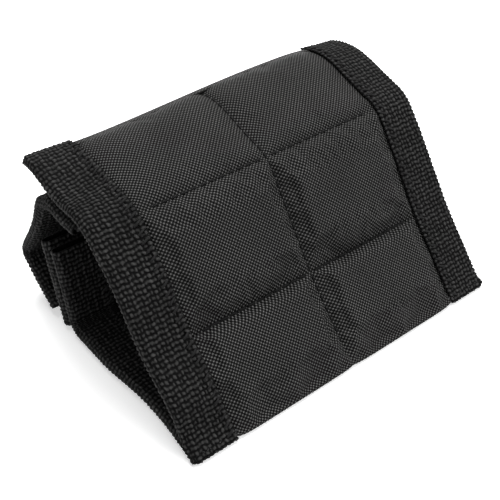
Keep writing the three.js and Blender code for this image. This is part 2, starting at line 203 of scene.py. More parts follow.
def rounded(corners, radii, step=0.25):
    """Closely spaced points along straight legs whose inner corners are rounded."""
    corners = [np.asarray(c, float) for c in corners]
    bends = []
    for before, corner, after, radius in zip(corners, corners[1:], corners[2:], radii):
        arriving = (corner - before) / np.linalg.norm(corner - before)
        leaving = (after - corner) / np.linalg.norm(after - corner)
        turn = math.atan2(across(arriving) @ leaving, arriving @ leaving)
        start = corner - radius * math.tan(abs(turn) / 2) * arriving
        spoke = math.copysign(radius, turn) * across(arriving)
        angles = np.linspace(0, turn, max(3, math.ceil(abs(turn) * radius / step)) + 1)[:, None]
        bends.append(start + spoke - np.cos(angles) * spoke - np.sin(angles) * across(spoke))
    path = np.concatenate([corners[:1], *bends, corners[-1:]])
    points = [path[:1]]
    for a, b in zip(path, path[1:]):
        count = math.ceil(np.linalg.norm(b - a) / step - 1e-6)
        points.append(a + (b - a) * np.linspace(0, 1, count + 1)[1:, None])
    return np.concatenate(points)


class Line:
    """A skin seen from its edge. Depth is to its left where inner_side is 1, to its right where it is -1."""

    def __init__(self, points, inner_side, pinch=None):
        self.points = points
        self.along = np.concatenate([[0], np.cumsum(np.linalg.norm(np.diff(points, axis=0), axis=1))])
        tangents = np.gradient(points, self.along, axis=0)
        self.tangents = tangents / np.linalg.norm(tangents, axis=1)[:, None]
        self.normals = inner_side * np.stack([-self.tangents[:, 1], self.tangents[:, 0]], axis=1)
        self.length = self.along[-1]
        self.pinch = pinch

    def station(self, point):
        """The distance along the line that is nearest to a point."""
        return self.along[np.argmin(np.linalg.norm(self.points - point, axis=1))]

    def own_side(self, y, z, distance, least):
        """Points moved straight across a tight fold until they are on their own side of its middle."""
        corner, way = self.pinch
        reach = (y - corner[0]) * way[0] + (z - corner[1]) * way[1]
        after = distance > self.station(corner)
        kept = np.where(after, np.maximum(reach, least), np.minimum(reach, -least))
        return y + (kept - reach) * way[0], z + (kept - reach) * way[1]

    def place(self, distance, depth):
        """Points at a distance along the line and a depth inside it, on their own side of a tight fold."""
        distance, depth = np.broadcast_arrays(np.asarray(distance, float), np.asarray(depth, float))
        past = distance - np.clip(distance, 0, self.length)
        found = []
        for axis in range(2):
            value = np.interp(distance, self.along, self.points[:, axis])
            value = value + depth * np.interp(distance, self.along, self.normals[:, axis])
            found.append(value + past * np.interp(distance, self.along, self.tangents[:, axis]))
        y, z = found
        if self.pinch:
            corner, way = self.pinch
            mid = -across(way)
            height = (y - corner[0]) * mid[0] + (z - corner[1]) * mid[1]
            slack = FOLD_RADIUS * (math.tan(FOLD_TURN / 2) - FOLD_TURN / 2)
            off_corner = np.abs(distance - self.station(corner)) + slack
            leg_height = off_corner * math.sin(FOLD_TURN / 2) + depth * math.cos(FOLD_TURN / 2)
            sink = np.where(depth > PINCH_OUTSIDE, np.minimum(leg_height - height, 0), 0)
            fade = rise(depth, PINCH_OUTSIDE, PINCH_OUTSIDE + PINCH_FADE)
            order = np.clip(PINCH_INSIDE - depth, 0, PINCH_SPAN) * fade
            least = PINCH_CLEARANCE + PINCH_ORDER * order
            y, z = self.own_side(y + sink * mid[0], z + sink * mid[1], distance, least)
        return y, z


FOLD_WAY = across(heading(FRONT_LOWER_RISE / 2))
lower_stitch = FOLD_LINE + FRONT_LOWER * heading(FRONT_LOWER_RISE)
end_reach = TOP_END_RADIUS * math.tan(math.radians(TOP_END_TURN / 2))
top_corner = CREST_LINE + (TOP_FLAT + end_reach) * heading(TOP_RISE)
free_end = top_corner + end_reach * heading(TOP_RISE - TOP_END_TURN)
pad_corners = [FOLD_LINE + [BOTTOM_PAD, 0], FOLD_LINE, lower_stitch, CREST_LINE, top_corner, free_end]
pad_radii = [FOLD_RADIUS, STITCH_RADIUS, CREST_RADIUS, TOP_END_RADIUS]
pad = Line(rounded(pad_corners, pad_radii), -1, (FOLD_LINE, FOLD_WAY))
AT_FOLD = pad.station(FOLD_LINE)
AT_LOWER_STITCH = pad.station(lower_stitch)
AT_CREST = pad.station(CREST_LINE)
AT_BOTTOM_STITCH = AT_FOLD - BOTTOM_STITCH
AT_PAD_END = pad.length - COVER_OFF_END

upright = heading(TAIL_RISE)


def upright_end(node):
    """Where the outer face of an upright taped piece ends at its top."""
    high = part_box(node)[1] / MM
    return np.array([high.y, high.z - BOUND_THICKNESS * upright[0]])


tail_top = upright_end("tail_binding_left")
tail_reach = TAIL_UPRIGHT + TAIL_BEND_RADIUS * math.tan(math.radians(TAIL_RISE / 2))
tail_heel = tail_top - tail_reach * upright
tail_start = np.array([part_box("bottom_binding_left")[1].y / MM, tail_heel[1]])
tail = Line(rounded([tail_start, tail_heel, tail_top], [TAIL_BEND_RADIUS]), 1)
loop_top = upright_end("loop_panel_binding_left")
loop_length = (loop_top[1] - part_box("loop_panel_binding_left")[0].z / MM) / upright[1]
loop_panel = Line(rounded([loop_top - loop_length * upright, loop_top], []), 1)

strap_way = heading(-STRAP_FALL)
seam_end = pad.length - LIP_LENGTH
seam_points = [np.array(pad.place(seam_end - back, STRAP_UNDER_PAD)) for back in (SEAM_LENGTH, 0)]
seam_way = seam_points[1] - seam_points[0]
to_bend = np.linalg.solve(np.stack([seam_way, -strap_way], axis=1), STRAP_LINE - seam_points[0])[0]
strap_bend = seam_points[0] + to_bend * seam_way
flap_end = FLAP_LINE + FLAP_LENGTH * heading(-STRAP_FALL - FLAP_TURN)
strap = Line(rounded([seam_points[0], strap_bend, FLAP_LINE, flap_end], [SEAM_RADIUS, FLAP_RADIUS]), -1)
AT_STRAP_LINE = strap.station(STRAP_LINE)
AT_FLAP_LINE = strap.station(FLAP_LINE)
AT_STRAP_SPLIT = (AT_STRAP_LINE + AT_FLAP_LINE) / 2


# How the cloth has settled: the top's long edges hang, the left one more, and its right half stands higher.
# Pairs are spans in mm. Those named BELOW are of -z, so that the change comes in downwards.
SOFT_FROM = 25
TOP_SAG = 3.4
SAG_BEHIND, SAG_ABOVE = (35, 61), (30, 38)
TOP_LIFT, RIGHT_HANG = 2.0, 0.7
LIFT_ACROSS, LIFT_BEHIND, LIFT_ABOVE = (-35, 20), (36, 56), (24, 38)
CREST_GIVE = {"left": 2.8, "right": 0.8}
CREST_NEAR = 9
LEFT_BULGE, BULGE_SHARE = 2.0, 0.58
BULGE_NEAR, BULGE_OFF_FOLD = 7, (5, 12)
STRAP_BULGE, STRAP_NEAR = 2.4, 8
FLAP_SPREAD, FLAP_SAG = 1.2, 1.4
FLAP_BEHIND, FLAP_BELOW, FLAP_OFF_FLOOR = (52, 62), (-30, -16), (0, 8)
FLOOR_NARROWING = 1.2
NARROW_BEHIND, NARROW_BELOW = (0, 38), (-9, -3)


def nearness(y, z, place, reach):
    """1 at a place, falling off to 0 around it."""
    return np.exp(-((y - place[0]) ** 2 + (z - place[1]) ** 2) / reach**2)


def settled(points):
    x, y, z = points.T
    left, right = (rise(side * x, SOFT_FROM, HALF_WIDTH) for side in SIDES.values())
    behind = y - FOLD_LINE[0]
    pad_inwards = -across(heading(FRONT_UPPER_RISE))
    bulge_at = FOLD_LINE + FRONT_LOWER * BULGE_SHARE * heading(FRONT_LOWER_RISE)
    give = (CREST_GIVE["left"] * left + CREST_GIVE["right"] * right) * nearness(y, z, CREST_LINE, CREST_NEAR)
    off_fold = np.hypot(y - FOLD_LINE[0], z - FOLD_LINE[1])
    bulge = LEFT_BULGE * left * nearness(y, z, bulge_at, BULGE_NEAR) * rise(off_fold, *BULGE_OFF_FOLD)
    give = give - bulge
    up = TOP_LIFT * rise(x, *LIFT_ACROSS) * (1 - RIGHT_HANG * right)
    up = up * rise(behind, *LIFT_BEHIND) * rise(z, *LIFT_ABOVE)
    up = up - TOP_SAG * left * hump(behind, *SAG_BEHIND) * rise(z, *SAG_ABOVE)
    strap_outwards = across(strap_way)
    belly = STRAP_BULGE * left * nearness(y, z, (strap_bend + STRAP_LINE) / 2, STRAP_NEAR)
    at_flap = left * rise(behind, *FLAP_BEHIND) * rise(-z, *FLAP_BELOW)
    narrow = FLOOR_NARROWING * left * hump(behind, *NARROW_BEHIND) * rise(-z, *NARROW_BELOW)
    drop = FLAP_SAG * at_flap * rise(z, *FLAP_OFF_FLOOR)
    y = y + give * pad_inwards[0] + belly * strap_outwards[0] + FLAP_SPREAD * at_flap
    z = z + give * pad_inwards[1] + belly * strap_outwards[1] + up - drop
    return np.stack([x + narrow, y, z], axis=1)


# Meshes


def turn_outwards(mesh, points):
    """Flips the faces of a closed mesh if they face into it."""
    mesh.calc_loop_triangles()
    corners = np.zeros(len(mesh.loop_triangles) * 3, np.int32)
    mesh.loop_triangles.foreach_get("vertices", corners)
    a, b, c = points[corners.reshape(-1, 3).T]
    if np.einsum("ij,ij->", a, np.cross(b, c)) < 0:
        mesh.flip_normals()


def make_piece(name, points, faces, uv=None, relief=None):
    mesh = bpy.data.meshes.new(name)
    points = settled(points) * MM
    mesh.from_pydata(points.tolist(), [], [list(map(int, f)) for f in faces])
    turn_outwards(mesh, points)
    mesh.polygons.foreach_set("use_smooth", [True] * len(mesh.polygons))
    if uv is not None:
        corners = np.zeros(len(mesh.loops), np.int32)
        mesh.loops.foreach_get("vertex_index", corners)
        cloth = (uv * UV_PER_MM)[corners].astype(np.float32)
        mesh.uv_layers.new(name="cloth").data.foreach_set("uv", cloth.ravel())
    if relief is not None:
        mesh.attributes.new("relief", "FLOAT", "POINT").data.foreach_set("value", relief.astype(np.float32))
    mesh.validate()
    mesh.update()
    piece = bpy.data.objects.new(name, mesh)
    bpy.context.scene.collection.objects.link(piece)
    return piece


def grid_faces(rows, columns, first=0, ring=False):
    """Quads of a grid of points. A ring joins its last column to its first."""
    i, j = np.meshgrid(np.arange(rows - 1), np.arange(columns if ring else columns - 1), indexing="ij")
    after = (j + 1) % columns
    quads = [i * columns + j, i * columns + after, (i + 1) * columns + after, (i + 1) * columns + j]
    return first + np.stack(quads, -1).reshape(-1, 4)


def two_sided(outer, inner):
    """Points and faces of a closed sheet from its two faces, given as grids of the same size."""
    rows, columns = outer.shape[:2]
    count = rows * columns
    points = np.concatenate([outer.reshape(-1, 3), inner.reshape(-1, 3)])
    index = np.arange(count).reshape(rows, columns)
    rim = np.concatenate([index[0, :-1], index[:-1, -1], index[-1, :0:-1], index[:0:-1, 0]])
    after = np.roll(rim, -1)
    faces = [grid_faces(rows, columns), grid_faces(rows, columns, count)[:, ::-1]]
    faces.append(np.stack([after, rim, rim + count, after + count], -1))
    return points, np.concatenate(faces)


def on_line(line, x, distance, depth):
    """A grid of points from x, distance and depth grids."""
    y, z = line.place(distance, depth)
    return np.stack(np.broadcast_arrays(x, y, z), axis=-1)


def stops(breaks, step):
    """Values through all breaks, about a step apart."""
    parts = [np.linspace(a, b, max(2, round(abs(b - a) / step)) + 1)[1:] for a, b in zip(breaks, breaks[1:])]
    return np.concatenate([[breaks[0]], *parts])


def layer(name, line, xs, distances, depth, thickness):
    """A closed sheet of cloth whose depth is a function of x and distance."""
    distance, x = np.meshgrid(distances, xs, indexing="ij")
    outer_depth = depth(x, distance)
    outer = on_line(line, x, distance, outer_depth)
    inner = on_line(line, x, distance, outer_depth + thickness)
    points, faces = two_sided(outer, inner)
    uv = np.tile(np.stack([x, distance], axis=-1).reshape(-1, 2), (2, 1))
    return make_piece(name, points, faces, uv)


def webbing_height(distance, reach):
    """Height of a plain weave, from 0 between its yarns to 1. Weft and warp lie on top by turns."""
    distance = distance + YARN_WANDER * np.sin(WANDER_ALONG[0] * reach + WANDER_ALONG[1] * distance)
    reach = reach + YARN_WANDER * np.sin(WANDER_ACROSS[0] * distance + WANDER_ACROSS[1] * reach)
    row, column = np.floor(distance / WEFT_PITCH), np.floor(reach / WARP_PITCH)
    v, u = distance / WEFT_PITCH - row - 0.5, reach / WARP_PITCH - column - 0.5
    weft_on_top = (row + column) % 2 == 0
    off_yarn = np.where(weft_on_top, v, u)
    along_yarn = np.where(weft_on_top, u, v)
    uneven = 1 - YARN_UNEVEN + YARN_UNEVEN * np.sin(UNEVEN_ROW * row + UNEVEN_COLUMN * column)
    crown = np.cos(math.pi * off_yarn) ** YARN_ROUND
    return uneven * crown * np.cos(math.pi * YARN_DIP * along_yarn) ** DIP_ROUND


TAPE_TURN = BOUND_THICKNESS / 2
TAPE_LEG = TAPE_REACH - TAPE_TURN
TAPE_WIDTH = 2 * TAPE_LEG + math.pi * TAPE_TURN


def edge_tape(name, line, side, start, end):
    """Webbing folded round one long edge, with its ribs. side is -1 on the left."""
    distances = np.linspace(start, end, max(2, round((end - start) / TAPE_STEP)) + 1)
    reaches = np.linspace(0, TAPE_WIDTH, round(TAPE_WIDTH / WRAP_STEP) + 1)
    distance, reach = np.meshgrid(distances, reaches, indexing="ij")
    angle = np.clip((reach - TAPE_LEG) / TAPE_TURN, 0, math.pi)
    out_x, out_depth = np.sin(angle), -np.cos(angle)
    flat = np.maximum(TAPE_LEG - np.minimum(reach, TAPE_WIDTH - reach), 0)
    x = HALF_WIDTH - TAPE_TURN - flat + TAPE_TURN * out_x
    depth = TAPE_TURN + TAPE_TURN * out_depth
    height = webbing_height(distance, reach)
    lift = YARN_HEIGHT * (height - 1)
    frayed = FRAY * np.exp(-np.minimum(reach, TAPE_WIDTH - reach) / FRAY_REACH)
    frayed = frayed * np.abs(np.sin(math.pi * distance / WEFT_PITCH))
    outer = on_line(line, side * (x + lift * out_x - frayed), distance, depth + lift * out_depth)
    inner_x = side * (x - TAPE_THICKNESS * out_x)
    inner = on_line(line, inner_x, distance, depth - TAPE_THICKNESS * out_depth)
    points, faces = two_sided(outer, inner)
    if side > 0:
        faces = faces[:, ::-1]
    uv = np.tile(np.stack([reach, distance], axis=-1).reshape(-1, 2), (2, 1))
    relief = np.concatenate([height.ravel(), np.full(height.size, INNER_RELIEF)])
    return make_piece(name, points, faces, uv, relief)


def cross_strip(name, line, corners, radii, half_width, thickness, ribbed=False):
    """A strip across the band. Its corners are distances and depths on a line."""
    path = Line(rounded(corners, radii), 1)
    columns = stops([-half_width, half_width], TAPE_STEP if ribbed else PLAIN_STEP)
    way, x = np.meshgrid(stops([0, path.length], WRAP_STEP), columns, indexing="ij")
    height = webbing_height(x, way) if ribbed else np.ones(x.shape)
    outer = on_line(line, x, *path.place(way, YARN_HEIGHT * (1 - height)))
    inner = on_line(line, x, *path.place(way, thickness))
    points, faces = two_sided(outer, inner)
    uv = np.tile(np.stack([way, x], axis=-1).reshape(-1, 2), (2, 1))
    return make_piece(name, points, faces, uv, np.tile(height.ravel(), 2))


def threads(name, line, paths, radii, sides=6):
    """Many short round strands. A path is a row of places, each with x, distance and depth on a line."""
    radii = np.asarray(radii)[None, :, None, None]
    ahead = np.gradient(paths, axis=1)
    ahead /= np.linalg.norm(ahead, axis=2, keepdims=True)
    level = (paths[:, -1] - paths[:, 0])[:, [1, 0, 2]] * [-1, 1, 0]
    aside = np.broadcast_to((level / np.linalg.norm(level, axis=1, keepdims=True))[:, None], paths.shape)
    above = np.cross(ahead, aside)
    angles = (2 * math.pi * np.arange(sides) / sides)[:, None]
    spokes = np.cos(angles) * aside[:, :, None] + np.sin(angles) * above[:, :, None]
    rings = paths[:, :, None] + radii * spokes
    points = on_line(line, *np.moveaxis(rings, -1, 0)).reshape(-1, 3)
    count, steps = paths.shape[:2]
    faces = []
    for first in range(0, count * steps * sides, steps * sides):
        last = first + (steps - 1) * sides
        faces += grid_faces(steps, sides, first, ring=True).tolist()
        faces += [list(range(first, first + sides))[::-1], list(range(last, last + sides))]
    return make_piece(name, points, faces)


STITCH_SHAPE = np.linspace(-1, 1, 7)
STITCH_TAPER = 0.4


def stitch_row(name, line, start, end, depth, outwards, pitch, slant):
    """Stitches from one place to another, each an x and a distance. outwards is -1 on the outer face."""
    start, end = np.array(start, float), np.array(end, float)
    count = max(1, round(np.linalg.norm(end - start) / pitch))
    step = (end - start) / count
    way = step / np.linalg.norm(step)
    way = way * math.cos(slant) + across(way) * math.sin(slant)
    centres = start + step * (np.arange(count)[:, None] + 0.5)
    if line.pinch:
        off_fold = np.abs(centres[:, 1] - line.station(line.pinch[0]))
        centres = centres[off_fold > STITCH_LENGTH]
        count = len(centres)
    flat = centres[:, None] + STITCH_SHAPE[None, :, None] * STITCH_LENGTH / 2 * way
    arch = depth + outwards * STITCH_ARCH * (1 - STITCH_SHAPE**2)
    paths = np.concatenate([flat, np.broadcast_to(arch[None, :, None], (count, len(arch), 1))], axis=2)
    return threads(name, line, paths, THREAD_RADIUS * (1 - STITCH_TAPER * STITCH_SHAPE**4))


# Materials. Most of a noise lies within NOISE_RANGE.
NOISE_RANGE = 0.3, 0.7
# The weaves' base colour is raised on the thread crowns as a painted highlight and falls to dark between the
# threads as painted shade; these set how sharp and how bright
CROWN_POWER, CROWN_GLINT_GAIN = 3.6, 12.2
FILAMENT_PITCH = 0.22
# The webbing's colour follows its modelled yarn height: painted shade in the gaps between yarns, painted
# highlight on their crowns
TAPE_SHADE_BELOW, TAPE_CROWN, TAPE_GLINT_GAIN = 0.5, 0.92, 3.8


class Finish:
    """A material's node tree with short names for what it is built from."""

    def __init__(self, name, roughness, specular=0.3, metallic=0.0, sheen=0.0):
        self.material = bpy.data.materials.new(name)
        self.material.use_nodes = True
        self.tree = self.material.node_tree
        self.shader = self.tree.nodes["Principled BSDF"]
        self.shader.inputs["Roughness"].default_value = roughness
        self.shader.inputs["Specular IOR Level"].default_value = specular
        self.shader.inputs["Metallic"].default_value = metallic
        self.shader.inputs["Sheen Weight"].default_value = sheen
        self.shader.inputs["Sheen Roughness"].default_value = 0.4

    def node(self, kind, **settings):
        made = self.tree.nodes.new(kind)
        for key, value in settings.items():
            setattr(made, key, value)
        return made

    def feed(self, socket, value):
        if isinstance(value, bpy.types.NodeSocket):
            self.tree.links.new(value, socket)
        else:
            socket.default_value = value

    def math(self, operation, *values):
        made = self.node("ShaderNodeMath", operation=operation)
        for socket, value in zip(made.inputs, values):
            self.feed(socket, value)
        return made.outputs[0]

    def cloth_place(self):
        """Distances across and along the cloth, in mm."""
        place = self.node("ShaderNodeUVMap", uv_map="cloth")
        parts = self.node("ShaderNodeSeparateXYZ")
        self.feed(parts.inputs[0], place.outputs[0])
        return [self.math("MULTIPLY", parts.outputs[i], 1 / UV_PER_MM) for i in range(2)]

    def noise(self, scale, detail=3.0):
        made = self.node("ShaderNodeTexNoise")
        made.inputs["Scale"].default_value = scale
        made.inputs["Detail"].default_value = detail
        self.feed(made.inputs["Vector"], self.node("ShaderNodeTexCoord").outputs["Object"])
        return made.outputs["Fac"]

    def ramp(self, value, low, high, from_low=0.0, from_high=1.0):
        """A value stretched from one range to another."""
        made = self.node("ShaderNodeMapRange")
        ends = {"From Min": from_low, "From Max": from_high, "To Min": low, "To Max": high}
        for key, number in ends.items():
            made.inputs[key].default_value = number
        self.feed(made.inputs["Value"], value)
        return made.outputs[0]

    def tint(self, colour, strength):
        """A colour made darker or lighter by a value."""
        made = self.node("ShaderNodeMix", data_type="RGBA", blend_type="MULTIPLY")
        made.inputs["Factor"].default_value = 1.0
        made.inputs[6].default_value = (*colour, 1)
        grey = self.node("ShaderNodeCombineColor")
        for socket in grey.inputs:
            self.feed(socket, strength)
        self.feed(made.inputs[7], grey.outputs[0])
        self.feed(self.shader.inputs["Base Color"], made.outputs[2])

    def bump(self, height, distance_mm):
        made = self.node("ShaderNodeBump")
        made.inputs["Distance"].default_value = distance_mm * MM
        self.feed(made.inputs["Height"], height)
        self.feed(self.shader.inputs["Normal"], made.outputs[0])


def woven_finish(name, colour, thread, depth_mm, roughness, specular, sheen):
    """Plain weave: threads cross over and under each other, with small uneven spots. Crowns get a painted
    highlight, gaps painted shade.
    """
    finish = Finish(name, roughness, specular, sheen=sheen)
    waves = [finish.math("SINE", finish.math("MULTIPLY", c, math.pi / thread)) for c in finish.cloth_place()]
    over = finish.math("MULTIPLY_ADD", finish.math("MULTIPLY", *waves), 0.5, 0.5)
    patches = finish.noise(90.0)
    fibres = finish.noise(2600.0, detail=1.0)
    finish.bump(finish.math("MULTIPLY_ADD", fibres, 0.25, over), depth_mm)
    uneven = finish.ramp(patches, 0.86, 1.14, *NOISE_RANGE)
    # Painted highlight on the thread crowns and painted shade between them, carried in the base colour
    glints_and_gap_shade = finish.math("POWER", over, CROWN_POWER)
    finish.tint(colour, finish.math("MULTIPLY", finish.ramp(glints_and_gap_shade, 0.0, CROWN_GLINT_GAIN), uneven))
    dull = finish.ramp(patches, roughness - 0.06, roughness + 0.06, *NOISE_RANGE)
    finish.feed(finish.shader.inputs["Roughness"], dull)
    return finish.material


def webbing_finish(name, colour):
    """Coarse webbing: the ribs are modelled, and the yarns' filaments are in the surface. Its colour paints
    shade in the gaps between yarns and a highlight on their crowns.
    """
    finish = Finish(name, 0.6, specular=0.06, sheen=0.01)
    turns = 2 * math.pi / FILAMENT_PITCH
    filaments = finish.math("SINE", finish.math("MULTIPLY", finish.cloth_place()[1], turns))
    height = finish.node("ShaderNodeAttribute", attribute_name="relief").outputs["Fac"]
    finish.bump(finish.math("MULTIPLY_ADD", filaments, 0.25, finish.noise(1800.0, detail=2.0)), 0.12)
    uneven = finish.ramp(finish.noise(140.0), 0.75, 1.25, *NOISE_RANGE)
    # Painted shade in the gaps between yarns and painted highlight on their crowns, from the yarn height
    glints_and_gap_shade = finish.ramp(height, 0.0, TAPE_GLINT_GAIN, TAPE_SHADE_BELOW, TAPE_CROWN)
    finish.tint(colour, finish.math("MULTIPLY", glints_and_gap_shade, uneven))
    return finish.material


def plain_finish(name, colour, roughness, scale, depth_mm, spread=0.2, **surface):
    """A finish with fine grain at one scale and slow changes at another."""
    finish = Finish(name, roughness, **surface)
    grain = finish.noise(scale, detail=4.0)
    finish.bump(grain, depth_mm)
    fine = finish.ramp(grain, 1 - spread, 1 + spread, *NOISE_RANGE)
    slow = finish.ramp(finish.noise(scale / 14), 1 - spread / 2, 1 + spread / 2, *NOISE_RANGE)
    finish.tint(colour, finish.math("MULTIPLY", fine, slow))
    return finish.material


# A weave: colour, thread and relief in mm, roughness, specular level, sheen. A plain finish: colour,
# roughness, scale of its grain, relief in mm.
COVER = woven_finish("cover_weave", (0.0104, 0.0103, 0.0101), 0.46, 0.2, 0.46, 0.04, 0.01)
LINING = woven_finish("lining_weave", (0.009, 0.009, 0.0091), 0.4, 0.13, 0.65, 0.15, 0.02)
WEB = woven_finish("strap_weave", (0.006, 0.006, 0.006), 0.6, 0.2, 0.65, 0.15, 0.02)
TAPE = webbing_finish("webbing", (0.0122, 0.0121, 0.0119))
THREAD = plain_finish("thread", (0.003, 0.003, 0.003), 0.7, 1500.0, 0.04, specular=0.1)
# The tape's thread is darker than the tape: its own dark colour, deepened as painted shade of the holes it
# sinks into
TAPE_THREAD = plain_finish("tape_thread", (0.008, 0.008, 0.008), 0.7, 1500.0, 0.06, specular=0.1)
FELT = plain_finish("felt", (0.03, 0.03, 0.031), 0.95, 900.0, 0.1, sheen=0.1)
HOOK = plain_finish("hook_nylon", (0.012, 0.012, 0.0125), 0.42, 700.0, 0.02, specular=0.5)
PILE = plain_finish("loop_pile", (0.02, 0.02, 0.021), 0.95, 1200.0, 0.2, sheen=0.15)
NICKEL = plain_finish("nickel", (0.48, 0.5, 0.52), 0.28, 260.0, 0.005, spread=0.06, metallic=1.0)


def dress(piece, material, slot=None, *nodes):
    """Gives a piece its finish and hides the solids that it stands for. slot is not used."""
    piece.data.materials.clear()
    piece.data.materials.append(material)
    if nodes:
        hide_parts(*nodes)
    return piece


# The folds, with bodies before and after a fold, its line, its direction and half its width; pieces at a
# fold are tied to no body
BENDS = {
    "fold": ("base", "front", FOLD_LINE, FOLD_WAY, PINCH_CLEARANCE),
    "crest": ("front", "top", CREST_LINE, heading((FRONT_UPPER_RISE + TOP_RISE) / 2), 5.0),
    "swing": ("top", "strap", STRAP_LINE, strap_way, 4.0),
    "peel": ("strap", "flap", FLAP_LINE, heading(-STRAP_FALL - FLAP_TURN / 2), 3.0),
}


def follow(piece, place):
    """Ties a piece to a body. A piece at a fold only has its transform applied."""
    if place not in BENDS:
        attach(piece, place)
        return
    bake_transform(piece)


# The pad
ROWS = [0, AT_BOTTOM_STITCH, AT_LOWER_STITCH, AT_CREST, pad.length]


TAPE_BLEND = 5
POCKET_POWER = 8


def swell(share, power):
    return 1 - np.abs(2 * np.clip(share, 0, 1) - 1) ** power


def quilt(x, distance, power):
    """0 on the stitch lines and under the tape, 1 amid a pocket. A high power fills its corners."""
    row = np.zeros(np.shape(distance))
    for a, b in zip(ROWS, ROWS[1:]):
        row = np.where((distance >= a) & (distance <= b), swell((distance - a) / (b - a), power), row)
    return np.where(np.abs(x) < TAPE_EDGE, swell(np.abs(x) / TAPE_EDGE, power) * row, 0)


def tent(x, distance):
    """1 on the flat of a front pocket, over its magnet, with straight slopes to the stitches and fold."""
    column = TAPE_EDGE / 2
    share = (column - np.abs(np.abs(x) - column)) / (column - FACET_LENGTH / 2)
    for magnet, a, b in (
        ("magnet_3_left", AT_FOLD, AT_LOWER_STITCH),
        ("magnet_2_left", AT_LOWER_STITCH, AT_CREST),
    ):
        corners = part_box(magnet)
        middle = pad.station(np.array([(corners[0][i] + corners[1][i]) / 2 / MM for i in (1, 2)]))
        first, last = middle - FACET_WIDTH / 2, middle + FACET_WIDTH / 2
        slope = np.minimum((distance - a) / (first - a), (b - distance) / (b - last))
        share = np.where((distance >= a) & (distance <= b), np.minimum(share, slope), share)
    return np.clip(share, 0, 1)


def pocket_depth(x, under_tape, sewn, filled, fullness):
    """Depth of a layer that is sewn down along the grid and lies under the tape at its edges."""
    low = under_tape + (sewn - under_tape) * rise(TAPE_EDGE - np.abs(x), 0, TAPE_BLEND)
    return low + (filled - low) * fullness


SIM_SCALE = 20.0
SIM_FRAMES = 30
PRESSURE = 0.5
CLOTH_GROWTH = 0.03
PUFF_LIMIT = 2.0


def inflate(start, faces, pinned, taut):
    """Points of sewn cloth that a cloth simulation blows up. The cloth has no slack where taut is 1."""
    mesh = bpy.data.meshes.new("blown")
    mesh.from_pydata((start * MM * SIM_SCALE).tolist(), [], faces.tolist())
    blown = bpy.data.objects.new("blown", mesh)
    scene = bpy.context.scene
    scene.collection.objects.link(blown)
    blown.vertex_groups.new(name="sewn").add(np.flatnonzero(pinned).tolist(), 1.0, "REPLACE")
    tight = blown.vertex_groups.new(name="taut")
    for amount in np.unique(taut):
        tight.add(np.flatnonzero(taut == amount).tolist(), float(amount), "REPLACE")
    cloth = blown.modifiers.new("Cloth", "CLOTH")
    settings = cloth.settings
    settings.quality = 6
    settings.mass = 0.25
    settings.tension_stiffness = settings.compression_stiffness = 30
    settings.shear_stiffness = 12
    settings.bending_stiffness = 1.0
    settings.vertex_group_mass = "sewn"
    settings.use_pressure = True
    settings.uniform_pressure_force = PRESSURE
    settings.vertex_group_shrink = "taut"
    settings.shrink_min = -CLOTH_GROWTH
    settings.shrink_max = 0
    settings.effector_weights.gravity = 0
    cloth.collision_settings.use_collision = False
    cloth.point_cache.frame_end = SIM_FRAMES
    for number in range(1, SIM_FRAMES + 1):
        scene.frame_set(number)
    shaped = blown.evaluated_get(bpy.context.evaluated_depsgraph_get()).to_mesh()
    found = np.zeros(len(shaped.vertices) * 3, np.float32)
    shaped.vertices.foreach_get("co", found)
    scene.frame_set(1)
    bpy.data.objects.remove(blown)
    bpy.data.meshes.remove(mesh)
    moved = found.reshape(-1, 3).astype(float) / SIM_SCALE / MM - start
    size = np.linalg.norm(moved, axis=1, keepdims=True)
    return start + moved * PUFF_LIMIT * np.tanh(size / PUFF_LIMIT) / np.maximum(size, 1e-9)


def finer(grid):
    """A grid of points with one smooth row and column added between each two."""
    for axis in (0, 1):
        g = np.moveaxis(grid, axis, 0)
        padded = np.concatenate([2 * g[:1] - g[1:2], g, 2 * g[-1:] - g[-2:-1]])
        woven = np.empty((2 * len(g) - 1, *g.shape[1:]))
        woven[0::2] = g
        woven[1::2] = (9 * (padded[1:-2] + padded[2:-1]) - padded[:-3] - padded[3:]) / 16
        grid = np.moveaxis(woven, 0, axis)
    return grid


COVER_STEP = 0.9
ON_SEAM, ON_FLAT = 0.01, 0.999
OTHER_TAUT = 0.9
FOLD_RISE_REACH = 5
# Mesh steps across and along the band
FELT_STEPS, LINING_STEPS, WEB_STEPS, STRIP_STEPS = (1.5, 1.2), (1.2, 1.0), (1.5, 1.0), (1.5, 1.2)
PAD_BREAKS = [-LAYER_EDGE, -TAPE_EDGE, 0, TAPE_EDGE, LAYER_EDGE]


